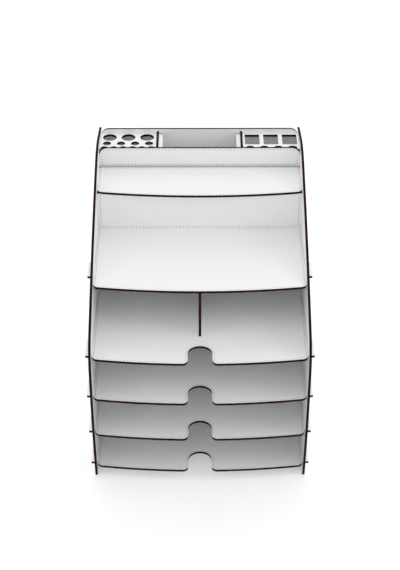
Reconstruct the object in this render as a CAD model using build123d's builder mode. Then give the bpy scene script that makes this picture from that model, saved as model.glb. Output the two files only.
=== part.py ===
import os

from build123d import *

# Stepped desk organizer of slotted fibreboard. Millimetres, X to the right, Y to the back, Z up.
# The origin is on the table, below the middle of the whole object.

# Boards and their joints
board = 3.0  # thickness of every board
slot_gap = 0.15  # play round a tab in its slot, on each side
edge_gap = 0.25  # play between the end of a board and the face beside it
tab_length = 30.0
tab_proud = 4.4  # how far a tray's tab stands out of the side panel
tab_radius = 0.8
small_tab_length = 16.0

# The whole object
inner_width = 244.6  # clear width between the side panels
overall_depth = 328.0  # foremost tray edge to the rear edge of the side panels
back_height = 315.5  # table to the top of the back panel

# Levels: the top face of each board, from the table up
first_level = 17.5
tray_count = 4
step_rise = 52.0  # desk shelf to step shelf
pen_front_rise = 25.0  # step shelf to the rim of the pen box
back_rise = 3.0  # rim of the pen box to the top of the back panel
pen_plate_drop = 3.0  # rim of the pen box to the top of the pen plates

# Depths
rear_overhang = 18.5  # side panels' rear edge behind the back panel
step_depth = 60.7  # riser's front face to pen box's front face
step_lip = 0.2  # step shelf's front corners ahead of the riser
step_rear_gap = 2.6  # open line between the step shelf and the pen box's front
desk_setback = 67.4  # middle of the desk shelf's front edge behind the foremost tray edge
tray_setback = 11.0  # the same for the tray that stands furthest back
tray_setback_shares = (1.0, 0.26, 0.0, 0.28)

# Front edges of trays and shelves
front_bow = 9.3  # how far the middle of a front edge stands ahead of its corners
front_corner_radius = 7.0
rear_corner_radius = 4.0
tray_tab_setback = 6.0  # first tab behind the front corner of a tray
desk_tab_setback = 21.5
rear_tab_setback = 45.0  # last tab's rear end ahead of the back panel
notch_width = 28.0
notch_depth = 33.5
notch_mouth_radius = 6.5

# Outline of the side panels
foot_setback = 22.5  # front foot behind the foremost tray edge
foot_bow = 3.7
belly_setback = 3.6
belly_drop = 21.5  # foremost point of the outline, below the top tray
belly_radius = 150.0
shoulder_setback = 4.5
shoulder_rise = 13.5  # corner where the slope starts, above the top tray
shoulder_radius = 40.0
slope_bow = 7.7
crest_setback = 71.0  # corner where the slope ends, ahead of the rear edge
crest_rise = 8.4  # the same corner above the rim of the pen box
crest_radius = 90.0
rear_drop = 4.8  # rear top corner below the rim of the pen box
panel_corner_radius = 4.0

# Pen box
rim_radius = 10.0  # rounded top corners of the pen box's front and of the back panel
divider_spacing = 103.0  # between the middles of the two dividers
tongue_proud = 4.7  # how far a pen plate's tongue stands out of its divider
plate_tab_length = 12.0
rim_tab_length = 11.0  # tabs of the pen box's front, below its rounded corners

# Left pen plate: notches along the front edge, a row of small holes, a row of large ones
left_notch_width = 9.0
left_notch_depth = 7.5
left_notch_web = 2.0  # least width between neighbours, here and below
small_hole = 10.0
small_hole_web = 6.0
large_hole = 17.0
large_hole_web = 4.5
row_web = 1.95  # between the rows

# Right pen plate: wider notches along the front edge and square slots behind them
right_notch_width = 12.0
right_notch_depth = 8.5
right_notch_web = 4.0
square_slot_width = 18.0
square_slot_web = 3.0
square_slot_radius = 1.0
square_row_web = 3.4

# Tray divider: upright board between the top tray and the desk shelf
divider_lead = 12.2  # its front edge ahead of the middle of the desk shelf's front edge
divider_corner_radius = 4.0

# Depths and widths that follow from the driving dimensions
plate_depth = left_notch_depth + small_hole + large_hole + 3 * row_web
pen_well_depth = plate_depth + 2 * edge_gap
inner_half = inner_width / 2
outer_half = inner_half + board
front_y = -overall_depth / 2
rear_y = overall_depth / 2
back_y = rear_y - rear_overhang - board  # front face of the back panel
well_y = back_y - pen_well_depth  # rear face of the pen box's front
pen_front_y = well_y - board
riser_y = pen_front_y - step_depth
step_front_y = riser_y - step_lip - front_bow
desk_front_y = front_y + desk_setback
tray_fronts = [front_y + tray_setback * share for share in tray_setback_shares]
tray_divider_front_y = desk_front_y - divider_lead

# Heights of the top faces, which share what the upper steps leave of the back panel's height
level_pitch = (back_height - back_rise - pen_front_rise - step_rise - first_level) / tray_count
tray_tops = [first_level + level_pitch * number for number in range(tray_count)]
desk_top = first_level + level_pitch * tray_count
step_top = desk_top + step_rise
rim_top = step_top + pen_front_rise
back_top = rim_top + back_rise
plate_top = rim_top - pen_plate_drop

# Faces that the boards meet
shelf_half = inner_half - edge_gap  # half the width of the boards between the side panels
shelf_rear_y = back_y - edge_gap
slot_width = board + 2 * slot_gap
divider_x = divider_spacing / 2
plate_inside = divider_x + board / 2 + edge_gap
plate_span = shelf_half - plate_inside
plate_middle_x = (plate_inside + shelf_half) / 2
plate_middle_y = (well_y + back_y) / 2
plate_front_y = well_y + edge_gap
tongue_length = pen_well_depth - 2 * board


def tab_at(start, length):
    return (start, start + length)


def tab_between(low, high, length):
    return ((low + high - length) / 2, (low + high + length) / 2)


def middle(span):
    return (span[0] + span[1]) / 2


def slot_length(span):
    return span[1] - span[0] + 2 * slot_gap


# Tabs of the level boards in the side panels, as spans in Y
rear_side_tab = tab_at(shelf_rear_y - rear_tab_setback - tab_length, tab_length)
tray_tabs = [
    (tab_at(front + front_bow + tray_tab_setback, tab_length), rear_side_tab) for front in tray_fronts
]
desk_tabs = (tab_at(desk_front_y + front_bow + desk_tab_setback, tab_length), rear_side_tab)
step_tab = tab_between(riser_y, pen_front_y, tab_length)
plate_tab = tab_at(well_y + board, plate_tab_length)

# Tabs of the upright boards in the side panels, as spans in Z
riser_tab = tab_between(desk_top, step_top - board, tab_length)
pen_front_tab = tab_between(step_top, rim_top - rim_radius, rim_tab_length)
back_tabs = [
    tab_between(low, high - board, small_tab_length)
    for low, high in zip(tray_tops, tray_tops[1:] + [desk_top])
]

# Tabs in the back panel and feet in the boards below
rear_tab_x = inner_width / 4
riser_foot_x = inner_width / 4
pen_divider_tab = tab_between(desk_top, plate_top - board, small_tab_length)
pen_divider_foot = tab_between(well_y, back_y, small_tab_length)
tray_divider_tab = tab_between(tray_tops[-1], desk_top - board, small_tab_length)
tray_divider_feet = (
    tab_at(tray_divider_front_y + tab_length, tab_length),
    tab_at(back_y - 2 * tab_length, tab_length),
)

# Slots of a side panel, as (middle in Y, middle in Z, length in Y, length in Z)
side_slots = [
    (middle(span), top - board / 2, slot_length(span), slot_width)
    for top, spans in zip(tray_tops + [desk_top], tray_tabs + [desk_tabs])
    for span in spans
]
side_slots += [
    (middle(step_tab), step_top - board / 2, slot_length(step_tab), slot_width),
    (middle(plate_tab), plate_top - board / 2, slot_length(plate_tab), slot_width),
    (riser_y + board / 2, middle(riser_tab), slot_width, slot_length(riser_tab)),
    (pen_front_y + board / 2, middle(pen_front_tab), slot_width, slot_length(pen_front_tab)),
]
side_slots += [(back_y + board / 2, middle(span), slot_width, slot_length(span)) for span in back_tabs]

os.makedirs("parts", exist_ok=True)

# Side panels: one outline with a leaning foot, a rounded shoulder and a long slope up to the crest
foot = (front_y + foot_setback, 0)
belly = (front_y + belly_setback, tray_tops[-1] - belly_drop)
shoulder = (front_y + shoulder_setback, tray_tops[-1] + shoulder_rise)
crest = (rear_y - crest_setback, rim_top + crest_rise)
rear_crown = (rear_y, rim_top - rear_drop)
heel = (rear_y, 0)

with BuildSketch() as side_outline:
    with BuildLine():
        SagittaArc(foot, belly, foot_bow)
        Line(belly, shoulder)
        SagittaArc(shoulder, crest, slope_bow)
        Polyline(crest, rear_crown, heel, foot)
    make_face()
    rounded_corners = (
        (belly, belly_radius),
        (shoulder, shoulder_radius),
        (crest, crest_radius),
        (rear_crown, panel_corner_radius),
    )
    for corner, radius in rounded_corners:
        fillet(side_outline.vertices().sort_by_distance(Vector(*corner))[0], radius)
    for y, z, length, height in side_slots:
        with Locations((y, z)):
            Rectangle(length, height, mode=Mode.SUBTRACT)

for side, low_face in (("left", -outer_half), ("right", inner_half)):
    with BuildPart() as side_panel:
        with BuildSketch(Plane.YZ.offset(low_face)):
            add(side_outline.sketch)
        extrude(amount=board)
    side_panel.part.label = f"{side}_side_panel"
    export_step(side_panel.part, f"parts/{side}_side_panel.step")


def bowed_board(front, rear):
    # Level board between the side panels, with a bowed front edge and rounded front corners
    with BuildSketch() as outline:
        with BuildLine():
            corner_y = front + front_bow
            ThreePointArc((-shelf_half, corner_y), (0, front), (shelf_half, corner_y))
            Polyline((shelf_half, corner_y), (shelf_half, rear), (-shelf_half, rear), (-shelf_half, corner_y))
        make_face()
        fillet(outline.vertices().sort_by(Axis.Y)[:2], front_corner_radius)
    return outline.sketch


def side_tabs(spans, reach):
    # Tabs on both sides of a board, from inside its edge out to a reach in X, with rounded ends
    with BuildSketch() as tabs:
        for span in spans:
            with Locations((0, middle(span))):
                Rectangle(2 * reach, span[1] - span[0])
        fillet(tabs.vertices(), tab_radius)
        with Locations((0, middle((spans[0][0], spans[-1][1])))):
            Rectangle(2 * (shelf_half - board), 2 * (spans[-1][1] - spans[0][0]), mode=Mode.SUBTRACT)
    return tabs.sketch


def rear_tabs():
    # Two tabs through the back panel, flush with its rear face
    with BuildSketch() as tabs:
        tab_y = (shelf_rear_y + back_y + board) / 2
        with Locations((-rear_tab_x, tab_y), (rear_tab_x, tab_y)):
            Rectangle(tab_length, back_y + board - shelf_rear_y)
    return tabs.sketch


# Trays: bowed boards with a U-shaped finger notch; the top one is slotted for the tray divider
for number, (top, front, spans) in enumerate(zip(tray_tops, tray_fronts, tray_tabs), start=1):
    with BuildPart() as tray:
        with BuildSketch(Plane.XY.offset(top - board)) as tray_face:
            add(bowed_board(front, shelf_rear_y))
            with Locations((0, front)):
                SlotOverall(2 * notch_depth, notch_width, rotation=90, mode=Mode.SUBTRACT)
            fillet(tray_face.vertices().sort_by(Axis.Y)[:2], notch_mouth_radius)
            add(side_tabs(spans, outer_half + tab_proud))
            add(rear_tabs())
            if top == tray_tops[-1]:
                for span in tray_divider_feet:
                    with Locations((0, middle(span))):
                        Rectangle(slot_width, slot_length(span), mode=Mode.SUBTRACT)
        extrude(amount=board)
    tray.part.label = f"tray_{number}"
    export_step(tray.part, f"parts/tray_{number}.step")

# Tray divider: upright board on the top tray, with feet through it and a tab in the back panel
with BuildPart() as tray_divider:
    with BuildSketch(Plane.YZ.offset(-board / 2)) as divider_face:
        low, high = tray_tops[-1], desk_top - board
        with Locations(((tray_divider_front_y + shelf_rear_y) / 2, (low + high) / 2)):
            Rectangle(shelf_rear_y - tray_divider_front_y, high - low)
        front_vertices = divider_face.vertices().group_by(Axis.X)[0]
        fillet(front_vertices.sort_by(Axis.Y)[-1], divider_corner_radius)
        for span in tray_divider_feet:
            with Locations((middle(span), low)):
                Rectangle(tab_length, 2 * board)
        with Locations((back_y, middle(tray_divider_tab))):
            Rectangle(2 * board, small_tab_length)
    extrude(amount=board)
tray_divider.part.label = "tray_divider"
export_step(tray_divider.part, "parts/tray_divider.step")

# Desk shelf: runs back under the pen box, with slots for the feet of the riser and the pen dividers
with BuildPart() as desk_shelf:
    with BuildSketch(Plane.XY.offset(desk_top - board)):
        add(bowed_board(desk_front_y, shelf_rear_y))
        add(side_tabs(desk_tabs, outer_half + tab_proud))
        add(rear_tabs())
        with Locations((-riser_foot_x, riser_y + board / 2), (riser_foot_x, riser_y + board / 2)):
            Rectangle(tab_length + 2 * slot_gap, slot_width, mode=Mode.SUBTRACT)
        with Locations((-divider_x, plate_middle_y), (divider_x, plate_middle_y)):
            Rectangle(slot_width, slot_length(pen_divider_foot), mode=Mode.SUBTRACT)
    extrude(amount=board)
desk_shelf.part.label = "desk_shelf"
export_step(desk_shelf.part, "parts/desk_shelf.step")

# Step shelf: rests on the riser and ends a little ahead of the pen box's front
with BuildPart() as step_shelf:
    with BuildSketch(Plane.XY.offset(step_top - board)) as step_face:
        add(bowed_board(step_front_y, pen_front_y - step_rear_gap))
        fillet(step_face.vertices().sort_by(Axis.Y)[-2:], rear_corner_radius)
        add(side_tabs([step_tab], outer_half))
    extrude(amount=board)
step_shelf.part.label = "step_shelf"
export_step(step_shelf.part, "parts/step_shelf.step")

# Riser: upright board on the desk shelf, with feet through it and a tab in each side panel
with BuildPart() as riser_panel:
    with BuildSketch(Plane.XZ.offset(-riser_y)):
        with Locations((0, (desk_top + step_top - board) / 2)):
            Rectangle(2 * shelf_half, step_top - board - desk_top)
        add(side_tabs([riser_tab], outer_half))
        with Locations((-riser_foot_x, desk_top), (riser_foot_x, desk_top)):
            Rectangle(tab_length, 2 * board)
    extrude(amount=-board)
riser_panel.part.label = "riser_panel"
export_step(riser_panel.part, "parts/riser_panel.step")

# Front of the pen box: upright board with rounded top corners, held by a tab in each side panel
with BuildPart() as pen_front_panel:
    with BuildSketch(Plane.XZ.offset(-pen_front_y)) as pen_front_face:
        with Locations((0, (step_top - board + rim_top) / 2)):
            Rectangle(2 * shelf_half, rim_top - step_top + board)
        fillet(pen_front_face.vertices().group_by(Axis.Y)[-1], rim_radius)
        add(side_tabs([pen_front_tab], outer_half))
    extrude(amount=-board)
pen_front_panel.part.label = "pen_front_panel"
export_step(pen_front_panel.part, "parts/pen_front_panel.step")

# Back panel: stands on the table, slotted for the trays, the desk shelf and the upright dividers
with BuildPart() as back_panel:
    with BuildSketch(Plane.XZ.offset(-back_y)) as back_face:
        with Locations((0, back_top / 2)):
            Rectangle(2 * shelf_half, back_top)
        fillet(back_face.vertices().group_by(Axis.Y)[-1], rim_radius)
        add(side_tabs(back_tabs, outer_half))
        for top in tray_tops + [desk_top]:
            with Locations((-rear_tab_x, top - board / 2), (rear_tab_x, top - board / 2)):
                Rectangle(tab_length + 2 * slot_gap, slot_width, mode=Mode.SUBTRACT)
        with Locations((-divider_x, middle(pen_divider_tab)), (divider_x, middle(pen_divider_tab))):
            Rectangle(slot_width, slot_length(pen_divider_tab), mode=Mode.SUBTRACT)
        with Locations((0, middle(tray_divider_tab))):
            Rectangle(slot_width, slot_length(tray_divider_tab), mode=Mode.SUBTRACT)
    extrude(amount=-board)
back_panel.part.label = "back_panel"
export_step(back_panel.part, "parts/back_panel.step")

# Pen dividers: upright boards from the desk shelf to the rim, slotted for the pen plates' tongues
for side, sign in (("left", -1), ("right", 1)):
    with BuildPart() as pen_divider:
        with BuildSketch(Plane.YZ.offset(sign * divider_x - board / 2)):
            with Locations((plate_middle_y, (desk_top + rim_top) / 2)):
                Rectangle(plate_depth, rim_top - desk_top)
            with Locations((middle(pen_divider_foot), desk_top)):
                Rectangle(small_tab_length, 2 * board)
            with Locations((back_y, middle(pen_divider_tab))):
                Rectangle(2 * board, small_tab_length)
            with Locations((plate_middle_y, plate_top - board / 2)):
                Rectangle(tongue_length + 2 * slot_gap, slot_width, mode=Mode.SUBTRACT)
        extrude(amount=board)
    pen_divider.part.label = f"{side}_pen_divider"
    export_step(pen_divider.part, f"parts/{side}_pen_divider.step")


def pen_plate_blank(sign):
    # Level plate between a side panel and a divider, with a tab in one and a tongue through the other
    with BuildSketch() as blank:
        tongue_end = divider_x - board / 2 - tongue_proud
        with Locations((sign * plate_middle_x, plate_middle_y)):
            Rectangle(plate_span, plate_depth)
        with Locations((sign * (plate_middle_x + outer_half) / 2, middle(plate_tab))):
            Rectangle(outer_half - plate_middle_x, plate_tab_length)
        with Locations((sign * (tongue_end + plate_middle_x) / 2, plate_middle_y)):
            Rectangle(plate_middle_x - tongue_end, tongue_length)
    return blank.sketch


def row_of(width, web):
    # How many cut-outs of a width fit along a pen plate, and how far apart
    count = int(plate_span // (width + web))
    return GridLocations(plate_span / count, 0, count, 1)


def u_notches(centre, width, web, depth):
    # Row of U-shaped notches in the front edge of a pen plate
    with BuildSketch() as notches:
        with Locations((centre, plate_front_y)):
            with row_of(width, web):
                Rectangle(width, 2 * depth - width)
        with Locations((centre, plate_front_y + depth - width / 2)):
            with row_of(width, web):
                Circle(width / 2)
    return notches.sketch


# Left pen plate
with BuildPart() as left_pen_plate:
    with BuildSketch(Plane.XY.offset(plate_top - board)):
        add(pen_plate_blank(-1))
        left_notches = u_notches(-plate_middle_x, left_notch_width, left_notch_web, left_notch_depth)
        add(left_notches, mode=Mode.SUBTRACT)
        small_row_y = plate_front_y + left_notch_depth + row_web + small_hole / 2
        with Locations((-plate_middle_x, small_row_y)):
            with row_of(small_hole, small_hole_web):
                Circle(small_hole / 2, mode=Mode.SUBTRACT)
        large_row_y = small_row_y + small_hole / 2 + row_web + large_hole / 2
        with Locations((-plate_middle_x, large_row_y)):
            with row_of(large_hole, large_hole_web):
                Circle(large_hole / 2, mode=Mode.SUBTRACT)
    extrude(amount=board)
left_pen_plate.part.label = "left_pen_plate"
export_step(left_pen_plate.part, "parts/left_pen_plate.step")

# Right pen plate
with BuildPart() as right_pen_plate:
    with BuildSketch(Plane.XY.offset(plate_top - board)):
        add(pen_plate_blank(1))
        right_notches = u_notches(plate_middle_x, right_notch_width, right_notch_web, right_notch_depth)
        add(right_notches, mode=Mode.SUBTRACT)
        square_slot_depth = plate_depth - right_notch_depth - 2 * square_row_web
        square_row_y = plate_front_y + plate_depth - square_row_web - square_slot_depth / 2
        with Locations((plate_middle_x, square_row_y)):
            with row_of(square_slot_width, square_slot_web):
                RectangleRounded(square_slot_width, square_slot_depth, square_slot_radius, mode=Mode.SUBTRACT)
    extrude(amount=board)
right_pen_plate.part.label = "right_pen_plate"
export_step(right_pen_plate.part, "parts/right_pen_plate.step")
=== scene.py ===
import math
import bmesh
import bpy
from mathutils import Matrix, Vector


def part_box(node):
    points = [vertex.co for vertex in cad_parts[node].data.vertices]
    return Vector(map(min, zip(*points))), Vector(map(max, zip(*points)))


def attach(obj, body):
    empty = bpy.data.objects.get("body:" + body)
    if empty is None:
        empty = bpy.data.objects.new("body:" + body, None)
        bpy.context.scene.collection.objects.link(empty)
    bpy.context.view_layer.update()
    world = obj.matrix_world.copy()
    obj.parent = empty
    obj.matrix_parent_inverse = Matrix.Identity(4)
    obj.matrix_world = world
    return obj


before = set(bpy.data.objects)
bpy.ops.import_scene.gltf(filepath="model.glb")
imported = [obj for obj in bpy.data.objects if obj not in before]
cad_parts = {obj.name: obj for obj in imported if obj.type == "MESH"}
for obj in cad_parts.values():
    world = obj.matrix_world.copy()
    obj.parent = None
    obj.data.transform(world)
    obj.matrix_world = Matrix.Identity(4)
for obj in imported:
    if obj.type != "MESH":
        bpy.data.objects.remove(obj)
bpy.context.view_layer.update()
mm = 0.001
print("frame loaded:", len(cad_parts), "boards")


def linear(hexColour):
    # sRGB hex to linear red, green, blue and alpha
    parts = [int(hexColour[i:i + 2], 16) / 255 for i in (1, 3, 5)]
    return tuple(p / 12.92 if p <= 0.04045 else ((p + 0.055) / 1.055) ** 2.4 for p in parts) + (1.0,)


def addNode(tree, kind, settings=None, links=None):
    # a key is a socket's name or number, or else one of the node's own settings;
    # a Mix node takes its factor in socket 0, numbers in 2 and 3 and colours in 6 and 7,
    # and gives a number in its first output and a colour in its third
    node = tree.nodes.new(kind)
    for key, value in (settings or {}).items():
        if isinstance(key, int) or key in node.inputs:
            node.inputs[key].default_value = value
        else:
            setattr(node, key, value)
    for key, source in (links or {}).items():
        tree.links.new(source, node.inputs[key])
    return node


def newMaterial(name):
    material = bpy.data.materials.new(name)
    material.use_nodes = True
    material.node_tree.nodes.clear()
    return material, material.node_tree


def addObject(name, data):
    thing = bpy.data.objects.new(name, data)
    bpy.context.scene.collection.objects.link(thing)
    return thing


def addMesh(name, bm, material):
    mesh = bpy.data.meshes.new(name)
    bm.to_mesh(mesh)
    bm.free()
    mesh.materials.append(material)
    return addObject(name, mesh)


# White-faced fibreboard, cut by laser: a satin melamine face with a fine pebble,
# and a charred brown edge with the beam's streaks across it, which hardly mirrors.
fibreboard = {
    "faceLight": "#F4F5F5",
    "faceDark": "#EFF0F0",
    "faceMirror": "#FFFFFF",
    "faceRough": (0.36, 0.46),
    "faceTurn": 0.6,  # what is squarer to the board's axis than this is a face, the rest is cut edge
    "grain": 1.1,  # mm, drawn coarser than the real 0.3 so that it shows
    "grainDetail": 3.0,
    "grainFine": 0.6,
    "grainRange": (0.35, 0.65),
    "edgeLight": "#442015",
    "edgeDark": "#1A0B07",
    "edgeMirror": "#0C0908",
    "edgeRough": 0.85,
    "streak": 1.4,  # mm between streaks, drawn coarser than the real 0.3
    "streakLong": 0.03,  # scale of the pattern along a streak, beside 1 across it
    "streakDetail": 2.0,
    "streakRange": (0.35, 0.75),
    "relief": 0.06,  # mm
    "reliefStrength": 0.3,
    "ior": 1.5,
    "shine": 0.4,
}


def boardMaterial(name, axis):
    # axis is square to the board's two faces
    material, tree = newMaterial(name)
    f = fibreboard
    place = addNode(tree, "ShaderNodeTexCoord")
    facing = addNode(tree, "ShaderNodeVectorMath", {"operation": "DOT_PRODUCT", 1: axis},
                     {0: place.outputs["Normal"]})
    turned = addNode(tree, "ShaderNodeMath", {"operation": "ABSOLUTE"}, {0: facing.outputs["Value"]})
    onFace = addNode(tree, "ShaderNodeMath", {"operation": "GREATER_THAN", 1: f["faceTurn"]},
                     {0: turned.outputs[0]}).outputs[0]

    grain = addNode(tree, "ShaderNodeTexNoise",
                    {"Scale": 1 / (f["grain"] * mm), "Detail": f["grainDetail"],
                     "Roughness": f["grainFine"]},
                    {"Vector": place.outputs["Object"]}).outputs["Fac"]
    tone = addNode(tree, "ShaderNodeMapRange",
                   {"From Min": f["grainRange"][0], "From Max": f["grainRange"][1]}, {"Value": grain})
    face = addNode(tree, "ShaderNodeMix",
                   {"data_type": "RGBA", 6: linear(f["faceDark"]), 7: linear(f["faceLight"])},
                   {0: tone.outputs["Result"]})

    # the streaks run through the board's thickness, so the pattern is drawn out along the axis
    scales = [(f["streakLong"] if a else 1.0) / (f["streak"] * mm) for a in axis]
    along = addNode(tree, "ShaderNodeMapping", {"Scale": scales}, {"Vector": place.outputs["Object"]})
    streak = addNode(tree, "ShaderNodeTexNoise", {"Scale": 1.0, "Detail": f["streakDetail"]},
                     {"Vector": along.outputs["Vector"]}).outputs["Fac"]
    char = addNode(tree, "ShaderNodeMapRange",
                   {"From Min": f["streakRange"][0], "From Max": f["streakRange"][1]}, {"Value": streak})
    edge = addNode(tree, "ShaderNodeMix",
                   {"data_type": "RGBA", 6: linear(f["edgeDark"]), 7: linear(f["edgeLight"])},
                   {0: char.outputs["Result"]})

    colour = addNode(tree, "ShaderNodeMix", {"data_type": "RGBA"},
                     {0: onFace, 6: edge.outputs[2], 7: face.outputs[2]})
    mirror = addNode(tree, "ShaderNodeMix",
                     {"data_type": "RGBA", 6: linear(f["edgeMirror"]), 7: linear(f["faceMirror"])},
                     {0: onFace})
    gloss = addNode(tree, "ShaderNodeMapRange", {"To Min": f["faceRough"][0], "To Max": f["faceRough"][1]},
                    {"Value": grain})
    rough = addNode(tree, "ShaderNodeMix", {"data_type": "FLOAT", 2: f["edgeRough"]},
                    {0: onFace, 3: gloss.outputs["Result"]})
    height = addNode(tree, "ShaderNodeMix", {"data_type": "FLOAT"}, {0: onFace, 2: streak, 3: grain})
    bump = addNode(tree, "ShaderNodeBump", {"Strength": f["reliefStrength"], "Distance": f["relief"] * mm},
                   {"Height": height.outputs[0]})
    shader = addNode(tree, "ShaderNodeBsdfPrincipled", {"IOR": f["ior"], "Specular IOR Level": f["shine"]},
                     {"Base Color": colour.outputs[2], "Specular Tint": mirror.outputs[2],
                      "Roughness": rough.outputs[0], "Normal": bump.outputs["Normal"]})
    addNode(tree, "ShaderNodeOutputMaterial", links={"Surface": shader.outputs[0]})
    return material


levelBoard = boardMaterial("whiteFibreboardLevel", (0, 0, 1))
crossBoard = boardMaterial("whiteFibreboardCross", (0, 1, 0))
sideBoard = boardMaterial("whiteFibreboardSide", (1, 0, 0))
uprightBoards = {
    "left_side_panel": sideBoard, "right_side_panel": sideBoard, "tray_divider": sideBoard,
    "left_pen_divider": sideBoard, "right_pen_divider": sideBoard,
    "back_panel": crossBoard, "riser_panel": crossBoard, "pen_front_panel": crossBoard,
}
for name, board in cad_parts.items():
    for slot in board.material_slots:
        slot.material = uprightBoards.get(name, levelBoard)
print("boards finished")


# Engraved stitch line: short scorched dashes a little inside each border,
# matt grey-brown marks that are darker in some places than in others.
stitch = {
    "inset": 2.0,  # mm from the border
    "pitch": 4.0,
    "level": (1.7, 0.6),  # length and width of a dash on a level board
    "upright": (1.2, 1.0),
    "proud": 0.03,
    "depth": 0.08,
    "sides": 10,  # of the round that a dash is drawn out from
    "roundSteps": 8,  # along a rounded corner of the line
    "touching": 0.001,  # mm, points nearer than this are one
    "light": "#4E4844",
    "dark": "#2C2724",
    "patch": 6.0,  # mm across a darker place
    "patchDetail": 3.0,
    "patchRange": (0.3, 0.7),
    "rough": 0.8,
    "ior": 1.45,
}


def engravingMaterial():
    material, tree = newMaterial("scorchedEngraving")
    s = stitch
    place = addNode(tree, "ShaderNodeTexCoord")
    patch = addNode(tree, "ShaderNodeTexNoise", {"Scale": 1 / (s["patch"] * mm), "Detail": s["patchDetail"]},
                    {"Vector": place.outputs["Object"]})
    tone = addNode(tree, "ShaderNodeMapRange",
                   {"From Min": s["patchRange"][0], "From Max": s["patchRange"][1]},
                   {"Value": patch.outputs["Fac"]})
    colour = addNode(tree, "ShaderNodeMix",
                     {"data_type": "RGBA", 6: linear(s["dark"]), 7: linear(s["light"])},
                     {0: tone.outputs["Result"]})
    shader = addNode(tree, "ShaderNodeBsdfPrincipled", {"Roughness": s["rough"], "IOR": s["ior"]},
                     {"Base Color": colour.outputs[2]})
    addNode(tree, "ShaderNodeOutputMaterial", links={"Surface": shader.outputs[0]})
    return material


scorch = engravingMaterial()


def corner(x, y, radius=0.0, bow=0.0, steps=0):
    # the edge that follows the corner bulges by bow and is drawn in steps
    return Vector((x, y)), radius, bow, steps


def arcBetween(a, b, bow, steps):
    # points between a and b on an arc that bulges to the right of the way by bow
    chord = b - a
    radius = (chord.length_squared / 4 + bow * bow) / (2 * bow)
    left = Vector((-chord.y, chord.x)).normalized()
    centre = (a + b) / 2 + left * (radius - bow)
    sweep = 4 * math.atan(2 * bow / chord.length)
    return [centre + Matrix.Rotation(sweep * k / steps, 2) @ (a - centre) for k in range(1, steps)]


def roundedLine(corners):
    points, radii = [], []
    for i, (point, radius, bow, steps) in enumerate(corners):
        points.append(point)
        radii.append(radius)
        if bow:
            arc = arcBetween(point, corners[(i + 1) % len(corners)][0], bow, steps)
            points += arc
            radii += [0.0] * len(arc)
    line = []
    for i, (point, radius) in enumerate(zip(points, radii)):
        if not radius:
            line.append(point)
            continue
        back = points[i - 1] - point
        ahead = points[(i + 1) % len(points)] - point
        turn = math.pi - back.angle(ahead)
        reach = radius * math.tan(turn / 2)
        start = point + back.normalized() * reach
        end = point + ahead.normalized() * reach
        leftTurn = ahead.cross(back) > 0
        bow = radius * (1 - math.cos(turn / 2)) * (1 if leftTurn else -1)
        line += [start] + arcBetween(start, end, bow, stitch["roundSteps"]) + [end]
    # two rounds that meet share a point
    return [p for i, p in enumerate(line) if (p - line[i - 1]).length > stitch["touching"]]


def insetLine(line, distance, closed):
    # the same line moved to the left of the way, into the board
    ways = [(b - a).normalized() for a, b in zip(line, line[1:] + line[:1])]
    lefts = [Vector((-way.y, way.x)) for way in ways]
    moved = []
    for i, point in enumerate(line):
        before = lefts[i - 1] if closed or i > 0 else lefts[0]
        after = lefts[i] if closed or i < len(line) - 1 else lefts[-2]
        total = before + after
        moved.append(point + total * (2 * distance / total.length_squared))
    return moved


def addDash(bm, length, width, place):
    half = width / 2
    dash = bmesh.ops.create_cone(bm, cap_ends=True, segments=stitch["sides"], radius1=half, radius2=half,
                                 depth=stitch["depth"])["verts"]
    for way in (-1, 1):  # the round is drawn out to a slot with round ends, and its middle stays
        end = [v for v in dash if v.co.x * way > stitch["touching"]]
        bmesh.ops.translate(bm, vec=(way * (length / 2 - half), 0, 0), verts=end)
    bmesh.ops.transform(bm, matrix=place, verts=dash)


def layStitches(boardName, corners, closed, face, dashSize):
    line = insetLine(roundedLine(corners), stitch["inset"], closed)
    runs = list(zip(line, line[1:] + line[:1] if closed else line[1:]))
    total = sum((b - a).length for a, b in runs)
    count = round(total / stitch["pitch"])
    lift = stitch["proud"] - stitch["depth"] / 2
    bm = bmesh.new()
    walked, run = 0.0, 0
    for k in range(count):
        target = (k + 0.5) * total / count
        while run < len(runs) - 1 and walked + (runs[run][1] - runs[run][0]).length < target:
            walked += (runs[run][1] - runs[run][0]).length
            run += 1
        a, b = runs[run]
        along = (b - a).normalized()
        at = a + along * (target - walked)
        turned = Matrix.Rotation(math.atan2(along.y, along.x), 4, "Z")
        addDash(bm, *dashSize, face @ Matrix.Translation((at.x, at.y, lift)) @ turned)
    bmesh.ops.recalc_face_normals(bm, faces=bm.faces)
    piece = addMesh(boardName + "_stitching", bm, scorch)
    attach(piece, "root")
    return count


def facePlane(origin, across, up, outward):
    # from millimetres on a board's face to metres in the frame
    rows = [[across[i], up[i], outward[i], origin[i]] for i in range(3)]
    return Matrix.Diagonal((mm, mm, mm, 1)) @ Matrix(rows + [[0, 0, 0, 1]])


def topFace(boardName):
    return facePlane((0, 0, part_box(boardName)[1].z / mm), (1, 0, 0), (0, 1, 0), (0, 0, 1))


# Level boards, in mm: the line follows the sides, the bowed front and the finger notch
levelBoards = {
    "clearance": 0.25,  # from a board's edge to the panel beside it
    "bow": 9.3,
    "bowSteps": 24,
    "corner": 7.0,
    "notchHalf": 14.0,  # the notch ends in a half round
    "notchDepth": 33.5,
    "mouth": 6.5,
    "partSteps": 10,  # along the bow on each side of a notch
    "trays": ("tray_1", "tray_2", "tray_3", "tray_4"),
    "shelves": {"desk_shelf": 0.0, "step_shelf": 4.0},  # rear corners, and 0 has no line along the rear
}
sideLow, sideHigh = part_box("right_side_panel")
halfWidth = sideLow.x / mm - levelBoards["clearance"]
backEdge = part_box("back_panel")[0].y / mm - levelBoards["clearance"]
bowRadius = (halfWidth ** 2 + levelBoards["bow"] ** 2) / (2 * levelBoards["bow"])


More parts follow.
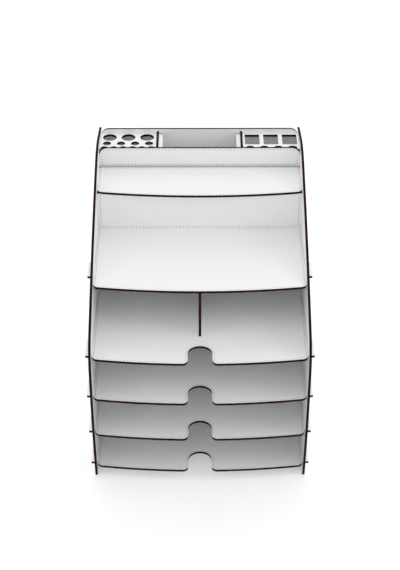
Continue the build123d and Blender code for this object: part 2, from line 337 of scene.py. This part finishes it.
def trayFront(tray):
    # the middle of the bow is cut away, so a tray starts at the rounds of its mouth
    s = levelBoards
    inner = bowRadius - s["mouth"]
    setBack = inner - math.sqrt(inner ** 2 - (s["notchHalf"] + s["mouth"]) ** 2)
    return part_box(tray)[0].y / mm - setBack


def trayOutline(front):
    s = levelBoards
    w = s["notchHalf"]
    mouthY = front + bowRadius - math.sqrt(bowRadius ** 2 - w ** 2)
    endY = front + s["notchDepth"]
    chord = math.hypot(halfWidth - w, front + s["bow"] - mouthY)
    partBow = bowRadius - math.sqrt(bowRadius ** 2 - chord ** 2 / 4)
    return [
        corner(-halfWidth, backEdge),
        corner(-halfWidth, front + s["bow"], s["corner"], partBow, s["partSteps"]),
        corner(-w, mouthY, s["mouth"]),
        corner(-w, endY, w),
        corner(w, endY, w),
        corner(w, mouthY, s["mouth"], partBow, s["partSteps"]),
        corner(halfWidth, front + s["bow"], s["corner"]),
        corner(halfWidth, backEdge),
    ]


def shelfOutline(front, rear, rearCorner):
    s = levelBoards
    return [
        corner(-halfWidth, rear, rearCorner),
        corner(-halfWidth, front + s["bow"], s["corner"], s["bow"], s["bowSteps"]),
        corner(halfWidth, front + s["bow"], s["corner"]),
        corner(halfWidth, rear, rearCorner),
    ]


dashes = 0
for name in levelBoards["trays"]:
    dashes += layStitches(name, trayOutline(trayFront(name)), False, topFace(name), stitch["level"])
for name, rearCorner in levelBoards["shelves"].items():
    low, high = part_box(name)
    rear = min(high.y / mm, backEdge)  # the desk's tabs reach on, through the back panel
    outline = shelfOutline(low.y / mm, rear, rearCorner)
    dashes += layStitches(name, outline, rearCorner > 0, topFace(name), stitch["level"])

# Upright fronts, in mm: the line frames the part that shows, and the riser's is open under the step
uprights = {
    "tuck": 0.95,  # that the side rows stand further in than on a level board
    "boards": {
        "riser_panel": {
            "shelf": "desk_shelf",
            "rise": 0.3,  # from that shelf to the foot of the part that shows
            "corner": 0.0,
            "closed": False,
            "dash": stitch["upright"],
        },
        "pen_front_panel": {
            "shelf": "step_shelf",
            "rise": 0.1,
            "corner": 10.0,
            "closed": True,
            "dash": (1.2, 0.8),
        },
    },
}
for name, u in uprights["boards"].items():
    low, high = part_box(name)
    side = halfWidth - uprights["tuck"]
    top = high.z / mm
    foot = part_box(u["shelf"])[1].z / mm + u["rise"]
    outline = [
        corner(-side, top, u["corner"]),
        corner(-side, foot),
        corner(side, foot),
        corner(side, top, u["corner"]),
    ]
    frontFace = facePlane((0, low.y / mm, 0), (1, 0, 0), (0, 0, 1), (0, -1, 0))
    dashes += layStitches(name, outline, u["closed"], frontFace, u["dash"])

# Side panels, in mm: the line follows the curved outline on the outer face
sidePanel = {
    "footFront": -141.5,
    "rearTop": 307.7,
    "rearRound": 4.0,
    "crown": (93.0, 320.9),
    "crownRound": 90.0,
    "slopeBow": 7.7,
    "shoulder": (-159.5, 194.5),
    "shoulderRound": 40.0,
    "belly": (-160.4, 159.5),
    "bellyRound": 150.0,
    "legBow": 3.7,
    "bowSteps": 8,
}
p = sidePanel
sideOutline = [
    corner(p["footFront"], 0),
    corner(sideHigh.y / mm, 0),
    corner(sideHigh.y / mm, p["rearTop"], p["rearRound"]),
    corner(*p["crown"], p["crownRound"], p["slopeBow"], p["bowSteps"]),
    corner(*p["shoulder"], p["shoulderRound"]),
    corner(*p["belly"], p["bellyRound"], p["legBow"], p["bowSteps"]),
]
for name, sign in (("left_side_panel", -1), ("right_side_panel", 1)):
    outerFace = facePlane((sign * sideHigh.x / mm, 0, 0), (0, 1, 0), (0, 0, 1), (sign, 0, 0))
    dashes += layStitches(name, sideOutline, True, outerFace, stitch["upright"])
print("stitch dashes laid:", dashes)


# Studio: a pale floor that reads white to the camera and keeps the object's shadow
studio = {
    "floorSize": 12.0,
    "floor": "#EDEEEE",
    "floorLift": 0.29,  # added for seen rays alone, so that the floor reads white
    "light": "#FFFFFF",
    "skyLight": 0.82,
    "skySeen": 1.0,
    "aim": (0.0, 0.0, 0.15),
    "lamps": {
        "rightLamp": {"place": (2.0, -0.6, 1.6), "size": 1.6, "power": 9.5},
        "leftLamp": {"place": (-2.0, -0.6, 1.6), "size": 1.6, "power": 4.5},
        "rearLamp": {"place": (0.0, 1.6, 2.0), "size": 1.6, "power": 5.5},
    },
}


def seenRay(tree):
    # 1 for camera, mirror and see-through rays
    path = addNode(tree, "ShaderNodeLightPath")
    either = addNode(tree, "ShaderNodeMath", {"operation": "MAXIMUM"},
                     {0: path.outputs["Is Camera Ray"], 1: path.outputs["Is Glossy Ray"]})
    return addNode(tree, "ShaderNodeMath", {"operation": "MAXIMUM"},
                   {0: either.outputs[0], 1: path.outputs["Is Transmission Ray"]}).outputs[0]


floorMaterial, tree = newMaterial("paleStudioFloor")
matt = addNode(tree, "ShaderNodeBsdfDiffuse", {"Color": linear(studio["floor"])})
lift = addNode(tree, "ShaderNodeMath", {"operation": "MULTIPLY", 1: studio["floorLift"]},
               {0: seenRay(tree)})
glow = addNode(tree, "ShaderNodeEmission", {"Color": linear(studio["light"])},
               {"Strength": lift.outputs[0]})
both = addNode(tree, "ShaderNodeAddShader", links={0: matt.outputs[0], 1: glow.outputs[0]})
addNode(tree, "ShaderNodeOutputMaterial", links={"Surface": both.outputs[0]})
bm = bmesh.new()
bmesh.ops.create_grid(bm, x_segments=1, y_segments=1, size=studio["floorSize"] / 2)
floor = addMesh("floor", bm, floorMaterial)

world = bpy.data.worlds.new("studioSky")
bpy.context.scene.world = world
world.use_nodes = True
tree = world.node_tree
tree.nodes.clear()
strength = addNode(tree, "ShaderNodeMapRange",
                   {"To Min": studio["skyLight"], "To Max": studio["skySeen"]}, {"Value": seenRay(tree)})
sky = addNode(tree, "ShaderNodeBackground", {"Color": linear(studio["light"])},
              {"Strength": strength.outputs["Result"]})
addNode(tree, "ShaderNodeOutputWorld", links={"Surface": sky.outputs[0]})

for name, s in studio["lamps"].items():
    lamp = bpy.data.lights.new(name, "AREA")
    lamp.shape = "DISK"
    lamp.size = s["size"]
    lamp.energy = s["power"]
    holder = addObject(name, lamp)
    holder.location = s["place"]
    way = Vector(studio["aim"]) - Vector(s["place"])
    holder.rotation_euler = way.to_track_quat("-Z", "Y").to_euler()
print("studio lit")

# Camera, as fitted to the photograph's frame of 400 by 570 pixels
view = {
    "focalPixels": 1470.0,
    "framePixels": 570.0,  # the frame's height
    "sensor": 24.0,  # mm
    "down": 34.09,  # degrees
    "turn": 0.13,
    "distance": 1.4735,  # metres along the floor
    "height": 1.1759,
    "aside": 0.0003,
    "far": 50.0,
}
lens = bpy.data.cameras.new("camera")
lens.sensor_fit = "VERTICAL"
lens.sensor_height = view["sensor"]
lens.lens = view["focalPixels"] * view["sensor"] / view["framePixels"]
lens.clip_end = view["far"]
camera = addObject("camera", lens)
turn = math.radians(view["turn"])
camera.location = (
    view["aside"] - view["distance"] * math.sin(turn),
    -view["distance"] * math.cos(turn),
    view["height"],
)
camera.rotation_euler = (math.radians(90 - view["down"]), 0, -turn)
bpy.context.scene.camera = camera
bpy.context.scene.view_settings.view_transform = "Standard"
print("camera set")
